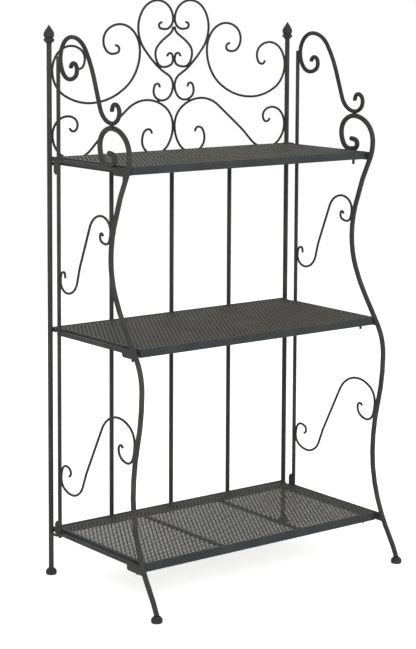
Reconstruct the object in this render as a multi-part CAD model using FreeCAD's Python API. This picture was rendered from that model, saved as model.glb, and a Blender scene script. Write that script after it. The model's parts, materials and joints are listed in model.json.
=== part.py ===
import FreeCAD, Part
import math
import os

from FreeCAD import Vector

# Folding bakers rack, in millimetres. +Z is up, the front faces -Y and +X is the viewer's right.
# The origin is on the floor, in the middle of the plan.

# Plan of the frames
FOOT_RADIUS = 10.3
FOOT_HEIGHT = 14.0
FOOT_SOLE_RADIUS = 8.8
FOOT_HEEL_RADIUS = 10.0
FOOT_HEEL_HEIGHT = 3.2
FOOT_SHOULDER_RADIUS = 8.8
FOOT_SHOULDER_HEIGHT = 7.0
FOOT_COLLAR_RADIUS = 5.8
FOOT_SPREAD = 340.1
POST_GAP = 5.0
SIDE_GAP = 6.0
UPRIGHT_DEPTH = 32.0

# Heights of the frames above the top shelf and below the bottom one
POST_RISE = 207.0
UPRIGHT_RISE = 186.0
UPRIGHT_DROP = 12.0

# Rods
POST_RADIUS = 4.5
LEG_RADIUS = 4.5
UPRIGHT_RADIUS = 3.5
BACK_BAR_RADIUS = 4.0
BACK_RAIL_RADIUS = 3.5
SIDE_RAIL_RADIUS = 3.0
TOP_SCROLL_RADIUS = 3.75
WIRE_RADIUS = 2.0
WELD_RADIUS = 3.6
WELD_DEPTH = 5.0
WELD_SIDES = 8
WELD_GAP = 0.1

# Shelves: height of the mesh, and how far the front edge stands before the back frame
TOP_SHELF_HEIGHT = 791.0
MIDDLE_SHELF_HEIGHT = 472.0
BOTTOM_SHELF_HEIGHT = 90.0
TOP_SHELF_FRONT = 248.5
MIDDLE_SHELF_FRONT = 275.5
BOTTOM_SHELF_FRONT = 290.5
SHELF_HALF_WIDTH = 275.0
SHELF_BACK = 6.5
RIM_HEIGHT = 14.5
RIM_WALL = 2.5
MESH_THICKNESS = 1.2
MESH_PITCH_X = 37.0
MESH_PITCH_Y = 24.0
MESH_STRAND = 3.0
MESH_BORDER = 8.0
CROSS_BAR_WIDTH = 6.0
CROSS_BAR_HEIGHT = 5.0

# Back rails lie behind the shelves with the back bars lapped behind them: the top one carries
# the crest, the lower ones show over the rear edges of their shelves. Side rails lie beside the rims
TOP_RAIL_DROP = 13.0
LOWER_RAIL_DROP = 3.0
BACK_BAR_LAP = 5.5
SIDE_RAIL_DROP = 5.0

# Shelf pivots
PIVOT_DEPTH = 10.0
PIVOT_DROP = 4.0
PIVOT_RADIUS = 2.25
PIVOT_CLEARANCE = 0.08
PIVOT_OVERHANG = 0.5
EAR_GAP = 1.0
EAR_THICKNESS = 5.0
EAR_RADIUS = 4.0

# Shelf pegs and the brackets that catch them
PEG_RADIUS = 2.5
PEG_SETBACK = 30.0
PEG_DROP = 12.0
PEG_SINK = 0.4
CATCH_HALF_LENGTH = 10.0
CATCH_WALL = 2.5
CATCH_LIP = 8.6
CATCH_CORNER = 5.0
CATCH_GAP = 0.3
NOTCH_CLEARANCE = 1.6

# Hinges between the posts and the side frames
PINTLE_RADIUS = 2.5
PINTLE_BEND = 5.5
PINTLE_TIP = 3.0
SLEEVE_RADIUS = 4.75
SLEEVE_CLEARANCE = 0.08
SLEEVE_LENGTH = 20.0
UPPER_SLEEVE_DROP = 8.0
LOWER_SLEEVE_DROP = 5.0
SLEEVE_END_GAP = 0.4

# Finial: a calyx that flares from the post, a neck and a bud
FINIAL_CALYX_RADIUS = 10.4
FINIAL_CALYX_WAIST = 6.0
FINIAL_CALYX_HEIGHT = 8.0
FINIAL_NECK_RADIUS = 7.2
FINIAL_NECK_HEIGHT = 12.0
FINIAL_SWELL_RADIUS = 9.2
FINIAL_BUD_RADIUS = 10.2
FINIAL_BUD_HEIGHT = 18.6
FINIAL_SHOULDER_RADIUS = 6.6
FINIAL_TIP_RADIUS = 0.8
FINIAL_HEIGHT = 35.5

# Numbers that steer the construction
STRAIGHT_TURN = 1e-4
PARALLEL_SPREAD = 1e-9
FITTING_PASSES = 6

# Places that follow from the sizes above
BACK_Y = FOOT_SPREAD / 2
POST_X = SHELF_HALF_WIDTH + POST_GAP + POST_RADIUS
SIDE_X = SHELF_HALF_WIDTH + SIDE_GAP + LEG_RADIUS
POST_TOP = TOP_SHELF_HEIGHT + POST_RISE
UPRIGHT_TOP = TOP_SHELF_HEIGHT + UPRIGHT_RISE
TOP_RAIL_Z = TOP_SHELF_HEIGHT - TOP_RAIL_DROP
BACK_RAILS = {
    "top": TOP_RAIL_Z,
    "middle": MIDDLE_SHELF_HEIGHT - LOWER_RAIL_DROP,
    "bottom": BOTTOM_SHELF_HEIGHT - LOWER_RAIL_DROP,
}
BAR_SPACING = POST_X / 2
HINGE_DEPTH = UPRIGHT_DEPTH - UPRIGHT_RADIUS - SLEEVE_RADIUS
SHELVES = {
    "top": (TOP_SHELF_HEIGHT, TOP_SHELF_FRONT),
    "middle": (MIDDLE_SHELF_HEIGHT, MIDDLE_SHELF_FRONT),
    "bottom": (BOTTOM_SHELF_HEIGHT, BOTTOM_SHELF_FRONT),
}
SIDES = {"left": -1, "right": 1}
UP = Vector(0, 0, 1)
BACK_NORMAL = Vector(0, 1, 0)
SIDE_NORMAL = Vector(1, 0, 0)

# Bent rods follow courses, lists of (across, up, heading in degrees) joined by tangent arcs.
# The crest's courses are its right half, measured from the middle and up from the top back rail.
HEART_EDGE = 84.0
HEART_TOP = 299.5
HEART_CLEFT = 264.0
HEART_WAIST = 136.0
INNER_HEART_LOBE = 45.0
INNER_HEART_TOP = HEART_CLEFT - 14.5
INNER_HEART_WAIST = HEART_WAIST + 50.0
MIDDLE_TOUCH = WIRE_RADIUS + WELD_GAP / 2
POST_TOUCH = POST_X - POST_RADIUS - WELD_GAP - WIRE_RADIUS
RAIL_TOUCH = BACK_RAIL_RADIUS + WELD_GAP + WIRE_RADIUS
C_SCROLL_TOUCH = 171.0
S_SCROLL_TOUCH = 52.0
S_SCROLL_CENTRE = 58.0
S_SCROLL_FOOT = 45.0
S_SCROLL_OUTER_FOOT = POST_TOUCH - 46.0

# From the hook in the cleft, over the lobe and down to the curl below the waist
HEART_COURSE = [
    (28, HEART_CLEFT - 6.5, 0),
    (35.5, HEART_CLEFT - 12, -90),
    (21, HEART_CLEFT - 19.5, 180),
    (MIDDLE_TOUCH, HEART_CLEFT, 90),
    (HEART_EDGE - 45, HEART_TOP, 0),
    (HEART_EDGE, HEART_TOP - 51.5, -90),
    (40, HEART_WAIST + 39, -138),
    (MIDDLE_TOUCH, HEART_WAIST, -90),
    (27, HEART_WAIST - 28, 0),
    (48, HEART_WAIST - 10, 90),
    (39, HEART_WAIST + 4.5, 180),
    (33.5, HEART_WAIST - 3, -90),
]

# Wide bowl between heart and post with a curl at each end, drawn for one width between them:
# the inner curl from the edge of the heart, the bowl and the outer curl back from the post
C_SCROLL_DRAWN_WIDTH = 193.9
C_SCROLL_LAP = 4.0
C_SCROLL_SIDE = 33.0
C_SCROLL_INNER_CURL = [
    (53, 44.5, 180),
    (44, 37, -90),
    (59, 28.5, 0),
    (80, 53, 90),
    (43, 84, 180),
]
C_SCROLL_OUTER_CURL = [
    (-85, -62.5, 0),
    (0, 0, 90),
    (-41, 45, 180),
    (-72, 20, -90),
    (-59, 2, 0),
    (-52, 9, 90),
]

# From the curl at the post, down to the rail, up over the arch and round to the middle
S_SCROLL_COURSE = [
    (POST_TOUCH - 38, S_SCROLL_TOUCH + 12, -110),
    (POST_TOUCH - 46, S_SCROLL_TOUCH + 5.5, 180),
    (POST_TOUCH - 55.5, S_SCROLL_TOUCH + 17, 90),
    (POST_TOUCH - 33, S_SCROLL_TOUCH + 34, 0),
    (POST_TOUCH, S_SCROLL_TOUCH, -90),
    (S_SCROLL_OUTER_FOOT, RAIL_TOUCH, 180),
    ((POST_TOUCH + MIDDLE_TOUCH) / 2 + 12, S_SCROLL_CENTRE + 1, 143),
    (65, S_SCROLL_CENTRE + 52, 180),
    (MIDDLE_TOUCH, S_SCROLL_CENTRE, -90),
    (S_SCROLL_FOOT, RAIL_TOUCH, 0),
    (75, S_SCROLL_CENTRE - 26, 90),
    (60, S_SCROLL_CENTRE - 4, 180),
    (52.5, S_SCROLL_CENTRE - 13, -80),
]

# Side frames are drawn for these distances between the shelves and stretch with them
UPPER_BAY_DRAWN_HEIGHT = 319.0
LOWER_BAY_DRAWN_HEIGHT = 382.0
UPPER_BAY_STRETCH = (TOP_SHELF_HEIGHT - MIDDLE_SHELF_HEIGHT) / UPPER_BAY_DRAWN_HEIGHT
LOWER_BAY_STRETCH = (MIDDLE_SHELF_HEIGHT - BOTTOM_SHELF_HEIGHT) / LOWER_BAY_DRAWN_HEIGHT
# How a course is stretched above and below each shelf
SHELF_STRETCHES = {
    "top": (1, UPPER_BAY_STRETCH),
    "middle": (UPPER_BAY_STRETCH, LOWER_BAY_STRETCH),
    "bottom": (LOWER_BAY_STRETCH, 1),
}

# Front leg, measured from the front edge of each shelf: the hook inside its loop, then two bows
LEG_LOOP_TOP = 65.5
LEG_LOOP_SETBACK = 45.5
LEG_FOOT_HEADING = -66
LEG_STRETCHES = {
    "top": [
        (-55.5, 21, 0),
        (-36.5, 11, -90),
        (-58.5, 1, 180),
        (-82.5, 33, 90),
        (-LEG_LOOP_SETBACK, LEG_LOOP_TOP, 0),
        (8, 18, -90),
        (-19.5, -55, -113),
    ],
    "middle": [
        (-75.5, 151, -90),
        (-32.5, 35, -54),
        (19, -71, -90),
    ],
    "bottom": [
        (-22, 116, -90),
        (6.5, -3, -64),
    ],
}

# Thick scroll on the top shelf: its rear curl from where it meets the upright, its front curl
# from where it stands on the loop of the leg, and the slope from half way between the two
TOP_SCROLL_REAR = UPRIGHT_RISE - 4.0
TOP_SCROLL_REAR_CURL = [
    (33.5, -16, 70),
    (43, -7, 0),
    (54, -19, -90),
    (30, -36.5, 180),
    (0, 0, 90),
    (38, 40, 0),
]
TOP_SCROLL_SLOPE = (26, 24, -69)
TOP_SCROLL_FRONT_CURL = [
    (0, 0, 0),
    (23, 20.5, 90),
    (10, 34, 180),
    (0.5, 20.5, -90),
]

# Thin S scrolls in the bays below the top and the middle shelf: heights at which they meet the
# leg and the upright, above the shelf below, and their curls, measured from there
UPPER_BAY_TOUCH = 201.0
UPPER_BAY_REAR = 92.0
UPPER_BAY_FRONT_CURL = [
    (-23, -10, 135),
    (-28, -6, 180),
    (-32.5, -13, -90),
    (-15, -24, 0),
    (0, 0, 90),
    (-29, 25, 180),
]
UPPER_BAY_SLOPE = (-7, 2.5, -116)
UPPER_BAY_REAR_CURL = [
    (22.5, -20, 180),
    (0, 0, 90),
    (10, 18, 0),
    (15.5, 7, -90),
]
LOWER_BAY_TOUCH = 214.0
LOWER_BAY_REAR = 104.0
LOWER_BAY_FRONT_CURL = [
    (-36, -14, 120),
    (-42, -9.5, 180),
    (-49, -18, -90),
    (-23, -38.5, 0),
    (0, 0, 90),
    (-50, 38.5, 180),
]
LOWER_BAY_SLOPE = (-21, -5, -121)
LOWER_BAY_REAR_CURL = [
    (35.5, -25.5, 180),
    (0, 0, 90),
    (16.5, 25.5, 0),
    (32, 15, -90),
    (25.5, 8, 180),
]
BAYS = {
    "upper": (
        MIDDLE_SHELF_HEIGHT,
        UPPER_BAY_STRETCH,
        (UPPER_BAY_TOUCH, UPPER_BAY_FRONT_CURL, UPPER_BAY_SLOPE, UPPER_BAY_REAR_CURL, UPPER_BAY_REAR),
    ),
    "lower": (
        BOTTOM_SHELF_HEIGHT,
        LOWER_BAY_STRETCH,
        (LOWER_BAY_TOUCH, LOWER_BAY_FRONT_CURL, LOWER_BAY_SLOPE, LOWER_BAY_REAR_CURL, LOWER_BAY_REAR),
    ),
}


def back_plane(side):
    """Places a point (distance from the middle, height) of the back frame on one side."""
    return lambda x, z: Vector(side * x, BACK_Y, z)


def side_plane(side):
    """Places a point (distance before the back frame, height) of a side frame."""
    return lambda depth, z: Vector(side * SIDE_X, BACK_Y - depth, z)


# Bent rods


def arc_or_line(start, tangent, end):
    """Points (start, middle, end) of the arc that leaves start along tangent, or (start, end)."""
    chord = (end[0] - start[0], end[1] - start[1])
    length = math.hypot(*chord)
    across = tangent[0] * chord[1] - tangent[1] * chord[0]
    along = tangent[0] * chord[0] + tangent[1] * chord[1]
    turn = math.atan2(across, along)
    if abs(turn) < STRAIGHT_TURN:
        return [start, end]
    rise = length / 2 * math.tan(turn / 2)
    middle = (
        (start[0] + end[0]) / 2 + chord[1] / length * rise,
        (start[1] + end[1]) / 2 - chord[0] / length * rise,
    )
    return [start, middle, end]


def biarc(start, end):
    """The two tangent arcs from one course point to the next, each as its points."""
    p0, p1 = start[:2], end[:2]
    t0, t1 = (
        (math.cos(math.radians(p[2])), math.sin(math.radians(p[2]))) for p in (start, end)
    )
    chord = (p1[0] - p0[0], p1[1] - p0[1])
    along = chord[0] * (t0[0] + t1[0]) + chord[1] * (t0[1] + t1[1])
    spread = 2 * (1 - t0[0] * t1[0] - t0[1] * t1[1])
    square = chord[0] ** 2 + chord[1] ** 2
    if spread < PARALLEL_SPREAD:
        reach = square / (2 * along)
    else:
        reach = (math.sqrt(along ** 2 + spread * square) - along) / spread
    joint = (
        (p0[0] + p1[0] + reach * (t0[0] - t1[0])) / 2,
        (p0[1] + p1[1] + reach * (t0[1] - t1[1])) / 2,
    )
    back = arc_or_line(p1, (-t1[0], -t1[1]), joint)
    return [arc_or_line(p0, t0, joint), back[::-1]]


def shifted(course, across, up):
    """A course moved to another place."""
    return [(x + across, z + up, heading) for x, z, heading in course]


def stretched(course, across, above, below):
    """A course stretched across, and up by one factor above its zero and another below it."""
    return [(x * across, z * (above if z > 0 else below), heading) for x, z, heading in course]


def course_wire(course, place):
    """The centre line of a bent rod."""
    edges = []
    for start, end in zip(course, course[1:]):
        for points in biarc(start, end):
            spots = [place(*p) for p in points]
            curve = Part.Arc(*spots) if len(spots) == 3 else Part.LineSegment(*spots)
            edges.append(curve.toShape())
    return Part.Wire(edges)


def swept_rod(wire, radius):
    """A round rod along a wire."""
    first = wire.OrderedEdges[0]
    start = first.valueAt(first.FirstParameter)
    tangent = first.tangentAt(first.FirstParameter)
    section = Part.Wire(Part.Circle(start, tangent, radius).toShape())
    return wire.makePipeShell([section], True, False)


def fitted(course_of, value, line, reach, place):
    """A course whose value is moved on until its centre line lies at reach from another line."""
    for _ in range(FITTING_PASSES):
        value += course_wire(course_of(value), place).distToShape(line)[0] - reach
    return course_of(value)


def bent_rod(course, radius, place):
    """A round rod bent along a course."""
    return swept_rod(course_wire(course, place), radius)


def straight_rod(start, end, radius):
    """A round rod between two points."""
    return Part.makeCylinder(radius, (end - start).Length, start, end - start)


def turned(profile, centre):
    """A solid turned about the upright line through centre, from points or arcs (radius, height)."""
    edges = []
    for stretch in profile:
        spots = [centre + Vector(r, 0, z) for r, z in stretch]
        curve = Part.Arc(*spots) if len(spots) == 3 else Part.LineSegment(*spots)
        edges.append(curve.toShape())
    return Part.Face(Part.Wire(edges)).revolve(centre, UP, 360)


def mirrored(shape):
    """The same shape on the other side of the rack."""
    return shape.mirror(Vector(), SIDE_NORMAL)


def box_between(low, high):
    """A box from its lowest to its highest corner."""
    size = high - low
    return Part.makeBox(size.x, size.y, size.z, low)


def closest_spot(first, second):
    """The point midway between two shapes where they come closest."""
    pair = first.distToShape(second)[1][0]
    return (pair[0] + pair[1]) / 2


def weld_bead(spot, rods, normal):
    """A bead of weld in the groove between rods of a flat frame, cut back to their faces."""
    across = normal.cross(UP)
    rear = spot - normal * (WELD_DEPTH / 2)
    turns = [2 * math.pi * (corner + 0.5) / WELD_SIDES for corner in range(WELD_SIDES + 1)]
    corners = [rear + (UP * math.cos(turn) + across * math.sin(turn)) * WELD_RADIUS for turn in turns]
    bead = Part.Face(Part.makePolygon(corners)).extrude(normal * WELD_DEPTH)
    near = [rod for rod in rods if rod.BoundBox.intersect(bead.BoundBox)]
    return max(bead.cut(near).Solids, key=lambda solid: solid.Volume)


# Back frame


def post(side):
    """Rear post, from the top of its foot to its finial."""
    foot_top = back_plane(side)(POST_X, FOOT_HEIGHT)
    return straight_rod(foot_top, back_plane(side)(POST_X, POST_TOP), POST_RADIUS)


def foot(centre):
    """A round knob of a foot under a post or a leg."""
    heel = (FOOT_RADIUS, FOOT_HEEL_HEIGHT)
    shoulder = (FOOT_RADIUS, FOOT_SHOULDER_HEIGHT)
    shoulder_middle = (FOOT_SHOULDER_RADIUS, (FOOT_SHOULDER_HEIGHT + FOOT_HEIGHT) / 2)
    collar = (FOOT_COLLAR_RADIUS, FOOT_HEIGHT)
    profile = [
        [(0, 0), (FOOT_SOLE_RADIUS, 0)],
        [(FOOT_SOLE_RADIUS, 0), (FOOT_HEEL_RADIUS, FOOT_HEEL_HEIGHT / 3), heel],
        [heel, shoulder],
        [shoulder, shoulder_middle, collar],
        [collar, (0, FOOT_HEIGHT)],
        [(0, FOOT_HEIGHT), (0, 0)],
    ]
    return turned(profile, centre)


def finial(side):
    """Bud on a flared calyx, seated on the top of a post."""
    waist = FINIAL_CALYX_HEIGHT / 2
    swell = (FINIAL_NECK_HEIGHT + FINIAL_BUD_HEIGHT) / 2
    shoulder = (FINIAL_BUD_HEIGHT + FINIAL_HEIGHT) / 2
    calyx_edge = (FINIAL_CALYX_RADIUS, FINIAL_CALYX_HEIGHT)
    neck = (FINIAL_NECK_RADIUS, FINIAL_NECK_HEIGHT)
    bud = (FINIAL_BUD_RADIUS, FINIAL_BUD_HEIGHT)
    tip = (FINIAL_TIP_RADIUS, FINIAL_HEIGHT)
    profile = [
        [(0, 0), (POST_RADIUS, 0)],
        [(POST_RADIUS, 0), (FINIAL_CALYX_WAIST, waist), calyx_edge],
        [calyx_edge, neck],
        [neck, (FINIAL_SWELL_RADIUS, swell), bud],
        [bud, (FINIAL_SHOULDER_RADIUS, shoulder), tip],
        [tip, (0, FINIAL_HEIGHT)],
        [(0, FINIAL_HEIGHT), (0, 0)],
    ]
    return turned(profile, back_plane(side)(POST_X, POST_TOP))


def back_bar(x):
    """Upright bar behind the rails, from the bottom one to the top one."""
    y = BACK_Y + BACK_BAR_LAP
    low = Vector(x, y, BACK_RAILS["bottom"] - BACK_RAIL_RADIUS)
    high = Vector(x, y, BACK_RAILS["top"] + BACK_RAIL_RADIUS)
    return straight_rod(low, high, BACK_BAR_RADIUS)


def back_rail(z):
    """Rail from post to post behind one shelf."""
    return straight_rod(back_plane(-1)(POST_X, z), back_plane(1)(POST_X, z), BACK_RAIL_RADIUS)


# Crest


def crest_place(side):
    """Places a point of the crest, measured up from the top back rail."""
    frame = back_plane(side)
    return lambda x, z: frame(x, TOP_RAIL_Z + z)


def c_scroll_course(lap):
    """Course of the wide bowl, which reaches over the edge of the heart by lap."""
    across = (POST_TOUCH - HEART_EDGE) / C_SCROLL_DRAWN_WIDTH
    side = (HEART_EDGE - lap, C_SCROLL_TOUCH + C_SCROLL_SIDE, -90)
    inner = stretched(C_SCROLL_INNER_CURL, across, 1, 1)
    outer = stretched(C_SCROLL_OUTER_CURL, across, 1, 1)
    return shifted(inner, HEART_EDGE, C_SCROLL_TOUCH) + [side] + shifted(outer, POST_TOUCH, C_SCROLL_TOUCH)


def inner_heart_course(lobe):
    """Course of the upside-down heart inside the large one, whose lobes reach to lobe."""
    return [
        (MIDDLE_TOUCH, INNER_HEART_TOP, -90),
        (26, INNER_HEART_WAIST + 38, -37),
        (lobe, INNER_HEART_WAIST + 12, -90),
        (lobe - 20, INNER_HEART_WAIST - 14, 180),
        (MIDDLE_TOUCH, INNER_HEART_WAIST, 90),
        (9, INNER_HEART_WAIST + 12.5, 0),
        (15.5, INNER_HEART_WAIST + 6, -90),
    ]


def crest_rods():
    """The four bent rods of the crest's right half, by name."""
    place = crest_place(SIDES["right"])
    heart_line = course_wire(HEART_COURSE, place)
    reach = 2 * WIRE_RADIUS + WELD_GAP
    courses = {
        "heart_scroll": HEART_COURSE,
        "inner_heart": fitted(inner_heart_course, INNER_HEART_LOBE, heart_line, reach, place),
        "c_scroll": fitted(c_scroll_course, C_SCROLL_LAP, heart_line, reach, place),
        "s_scroll": S_SCROLL_COURSE,
    }
    return {name: bent_rod(course, WIRE_RADIUS, place) for name, course in courses.items()}


def crest_welds(halves, carriers):
    """Weld beads of the crest. Rods that meet in the middle share one bead."""
    rods = [rod for half in halves.values() for rod in half.values()] + carriers
    middle = crest_place(1)
    heights = (HEART_CLEFT, HEART_WAIST, INNER_HEART_WAIST, S_SCROLL_CENTRE)
    spots = [middle(0, z) for z in heights]
    for side_name, side in SIDES.items():
        half = halves[side_name]
        place = crest_place(side)
        spots += [place(POST_TOUCH + WIRE_RADIUS, z) for z in (C_SCROLL_TOUCH, S_SCROLL_TOUCH)]
        spots += [place(x, RAIL_TOUCH - WIRE_RADIUS) for x in (S_SCROLL_FOOT, S_SCROLL_OUTER_FOOT)]
        spots.append(closest_spot(half["heart_scroll"], half["s_scroll"]))
        spots.append(closest_spot(half["heart_scroll"], half["c_scroll"]))
        spots.append(closest_spot(half["heart_scroll"], half["inner_heart"]))
    return Part.makeCompound([weld_bead(spot, rods, BACK_NORMAL) for spot in spots])


# Hinges and pivots on the posts


def pintle(side, run_z, direction):
    """Bent pin from a post to a hinge line. It points down (-1) or up (1) into its sleeve."""
    root = back_plane(side)(POST_X, run_z)
    knee = side_plane(side)(HINGE_DEPTH, run_z)
    ahead = (knee - root).normalize()
    rise = UP * direction
    bend_start = knee - ahead * PINTLE_BEND
    bend_end = knee + rise * PINTLE_BEND
    diagonal = (ahead - rise).normalize() * PINTLE_BEND
    bend_middle = knee - ahead * PINTLE_BEND + rise * PINTLE_BEND + diagonal
    tip = bend_end + rise * (SLEEVE_END_GAP + SLEEVE_LENGTH + PINTLE_TIP)
    wire = Part.Wire([
        Part.LineSegment(root, bend_start).toShape(),
        Part.Arc(bend_start, bend_middle, bend_end).toShape(),
        Part.LineSegment(bend_end, tip).toShape(),
    ])
    return swept_rod(wire, PINTLE_RADIUS)


def sleeve_starts():
    """Lower ends of the upper and the lower hinge sleeves."""
    upper = TOP_SHELF_HEIGHT - UPPER_SLEEVE_DROP - SLEEVE_LENGTH
    return upper, BOTTOM_SHELF_HEIGHT - LOWER_SLEEVE_DROP


def pintles(side):
    """The upper pin hangs down and the lower one stands up, so a side frame can't lift off."""
    upper, lower = sleeve_starts()
    return [
        pintle(side, upper + SLEEVE_LENGTH + SLEEVE_END_GAP + PINTLE_BEND, -1),
        pintle(side, lower - SLEEVE_END_GAP - PINTLE_BEND, 1),
    ]


def pivot_ear(side, height):
    """Plate on a post with the hole for a shelf's pivot pin."""
    inner = side * (SHELF_HALF_WIDTH + EAR_GAP)
    z = height - PIVOT_DROP
    spots = [
        Vector(inner, BACK_Y - depth, z + rise)
        for depth, rise in (
            (0, -EAR_RADIUS),
            (PIVOT_DEPTH, -EAR_RADIUS),
            (PIVOT_DEPTH + EAR_RADIUS, 0),
            (PIVOT_DEPTH, EAR_RADIUS),
            (0, EAR_RADIUS),
        )
    ]
    outline = Part.Wire([
        Part.LineSegment(spots[0], spots[1]).toShape(),
        Part.Arc(*spots[1:4]).toShape(),
        Part.LineSegment(spots[3], spots[4]).toShape(),
        Part.LineSegment(spots[4], spots[0]).toShape(),
    ])
    plate = Part.Face(outline).extrude(Vector(side * EAR_THICKNESS, 0, 0))
    hole_start = Vector(0, BACK_Y - PIVOT_DEPTH, z)
    hole_end = hole_start + Vector(side * (SHELF_HALF_WIDTH + EAR_GAP + 2 * EAR_THICKNESS), 0, 0)
    return plate.cut(straight_rod(hole_start, hole_end, PIVOT_RADIUS + PIVOT_CLEARANCE))


# Right side frame: courses run forward from the back frame and up from the floor


def leg_course():
    """Front leg from the hook inside its loop, down the two bows, to the front foot."""
    course = []
    for name, stretch in LEG_STRETCHES.items():
        height, front = SHELVES[name]
        course += shifted(stretched(stretch, 1, *SHELF_STRETCHES[name]), front, height)
    course.append((FOOT_SPREAD, FOOT_HEIGHT - LEG_RADIUS / 2, LEG_FOOT_HEADING))
    return course


def leg_depth(leg_line, z):
    """How far the centre line of a leg stands before the back frame at a height."""
    box = leg_line.BoundBox
    level = Part.LineSegment(Vector(box.XMin, box.YMin, z), Vector(box.XMin, box.YMax, z))
    return BACK_Y - leg_line.distToShape(level.toShape())[1][0][0].y


def sloped_course(first, first_at, slope, second, second_at):
    """Two curls at their places, joined by a slope that passes a point near half way."""
    half_way = [(a + b) / 2 for a, b in zip(first_at, second_at)]
    return shifted(first, *first_at) + shifted([slope], *half_way) + shifted(second, *second_at)


def top_scroll(place):
    """Thick scroll from the upright, over its arch and down to the loop of the leg."""
    rear = UPRIGHT_DEPTH + UPRIGHT_RADIUS + WELD_GAP + TOP_SCROLL_RADIUS
    rear_at = (rear, TOP_SHELF_HEIGHT + TOP_SCROLL_REAR)
    seat = TOP_SHELF_HEIGHT + LEG_LOOP_TOP + LEG_RADIUS + WELD_GAP + TOP_SCROLL_RADIUS
    front_at = (TOP_SHELF_FRONT - LEG_LOOP_SETBACK, seat)
    course = sloped_course(
        TOP_SCROLL_REAR_CURL, rear_at, TOP_SCROLL_SLOPE, TOP_SCROLL_FRONT_CURL, front_at
    )
    return bent_rod(course, TOP_SCROLL_RADIUS, place)


def bay_scroll(bay, leg_line, place):
    """Thin S scroll of a bay, whose rear curl touches the upright and whose front curl the leg."""
    base, stretch, (touch, front_curl, slope, rear_curl, rear_height) = BAYS[bay]
    front_curl, (slope,), rear_curl = (
        stretched(part, 1, stretch, stretch) for part in (front_curl, [slope], rear_curl)
    )
    touch_z = base + touch * stretch
    rear_at = (UPRIGHT_DEPTH + UPRIGHT_RADIUS + WELD_GAP + WIRE_RADIUS, base + rear_height * stretch)
    reach = LEG_RADIUS + WELD_GAP + WIRE_RADIUS

    def course_of(front):
        """Course of the scroll when its front curl reaches to front."""
        return sloped_course(front_curl, (front, touch_z), slope, rear_curl, rear_at)

    course = fitted(course_of, leg_depth(leg_line, touch_z) - reach, leg_line, reach, place)
    return bent_rod(course, WIRE_RADIUS, place)


def side_rail(height, leg_line, place):
    """Rail beside one shelf, from the upright to the leg."""
    z = height - SIDE_RAIL_DROP
    return straight_rod(place(UPRIGHT_DEPTH, z), place(leg_depth(leg_line, z), z), SIDE_RAIL_RADIUS)


def hinge_sleeve(z, place):
    """Short tube behind the upright, turning on a pintle."""
    base = place(HINGE_DEPTH, z)
    tube = Part.makeCylinder(SLEEVE_RADIUS, SLEEVE_LENGTH, base)
    return tube.cut(Part.makeCylinder(PINTLE_RADIUS + SLEEVE_CLEARANCE, SLEEVE_LENGTH, base))


def catch(height, front, leg_line):
    """Bracket under a side rail, whose lip carries the shelf rim and has a notch for its peg.

    Its lower rear corner is round.
    """
    peg_y = BACK_Y - (front - PEG_SETBACK)
    rim_low = height - RIM_HEIGHT
    lip_top = rim_low - CATCH_GAP
    lip_low = lip_top - CATCH_WALL
    plate_top = height - SIDE_RAIL_DROP
    leg_y = BACK_Y - min(leg_depth(leg_line, z) for z in (lip_low, plate_top))
    outer = SIDE_X + CATCH_WALL / 2
    notch_half = PEG_RADIUS + NOTCH_CLEARANCE
    notch_x = SHELF_HALF_WIDTH - RIM_WALL - PEG_RADIUS + PEG_SINK
    inner = notch_x - CATCH_LIP
    rear = peg_y + CATCH_HALF_LENGTH
    plate = box_between(Vector(outer - CATCH_WALL, leg_y, lip_low), Vector(outer, rear, plate_top))
    lip = box_between(Vector(inner, peg_y - CATCH_HALF_LENGTH, lip_low), Vector(outer, rear, lip_top))
    notch = box_between(
        Vector(inner, peg_y - notch_half, lip_low),
        Vector(notch_x + notch_half, peg_y + notch_half, lip_top),
    )
    corner = box_between(
        Vector(inner, rear - CATCH_CORNER, lip_low), Vector(outer, rear, lip_low + CATCH_CORNER)
    )
    middle = Vector(inner, rear - CATCH_CORNER, lip_low + CATCH_CORNER)
    rounding = corner.cut(Part.makeCylinder(CATCH_CORNER, outer - inner, middle, SIDE_NORMAL))
    return plate.fuse(lip).cut([notch, rounding]).removeSplitter()


def side_frame():
    """The nodes of the right side frame, by name."""
    place = side_plane(SIDES["right"])
    leg_line = course_wire(leg_course(), place)
    low_end = place(UPRIGHT_DEPTH, BOTTOM_SHELF_HEIGHT - UPRIGHT_DROP)
    upright = straight_rod(low_end, place(UPRIGHT_DEPTH, UPRIGHT_TOP), UPRIGHT_RADIUS)
    front_foot = foot(place(FOOT_SPREAD, 0))
    leg = swept_rod(leg_line, LEG_RADIUS).cut(front_foot)
    scrolls = {"top_scroll": top_scroll(place)}
    for bay in BAYS:
        scrolls[f"{bay}_bay_scroll"] = bay_scroll(bay, leg_line, place)
    rails = {
        f"{name}_side_rail": side_rail(height, leg_line, place).cut([upright, leg])
        for name, (height, _) in SHELVES.items()
    }
    catches = [
        catch(height, front, leg_line).cut([leg, rails[f"{name}_side_rail"]])
        for name, (height, front) in SHELVES.items()
    ]
    sleeves = [hinge_sleeve(z, place) for z in sleeve_starts()]
    rear_touch = UPRIGHT_DEPTH + UPRIGHT_RADIUS
    rear_heights = [TOP_SHELF_HEIGHT + TOP_SCROLL_REAR]
    rear_heights += [base + stretch * scroll[-1] for base, stretch, scroll in BAYS.values()]
    spots = [place(rear_touch, z) for z in rear_heights]
    spots += [closest_spot(scroll, leg) for scroll in scrolls.values()]
    joined = [upright, leg, *scrolls.values()]
    return {
        "upright": upright,
        "front_leg": leg,
        "front_foot": front_foot,
        **scrolls,
        **rails,
        "hinge_sleeves": Part.makeCompound(sleeves),
        "catches": Part.makeCompound(catches),
        "welds": Part.makeCompound([weld_bead(spot, joined, SIDE_NORMAL) for spot in spots]),
    }


# Shelves


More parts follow.
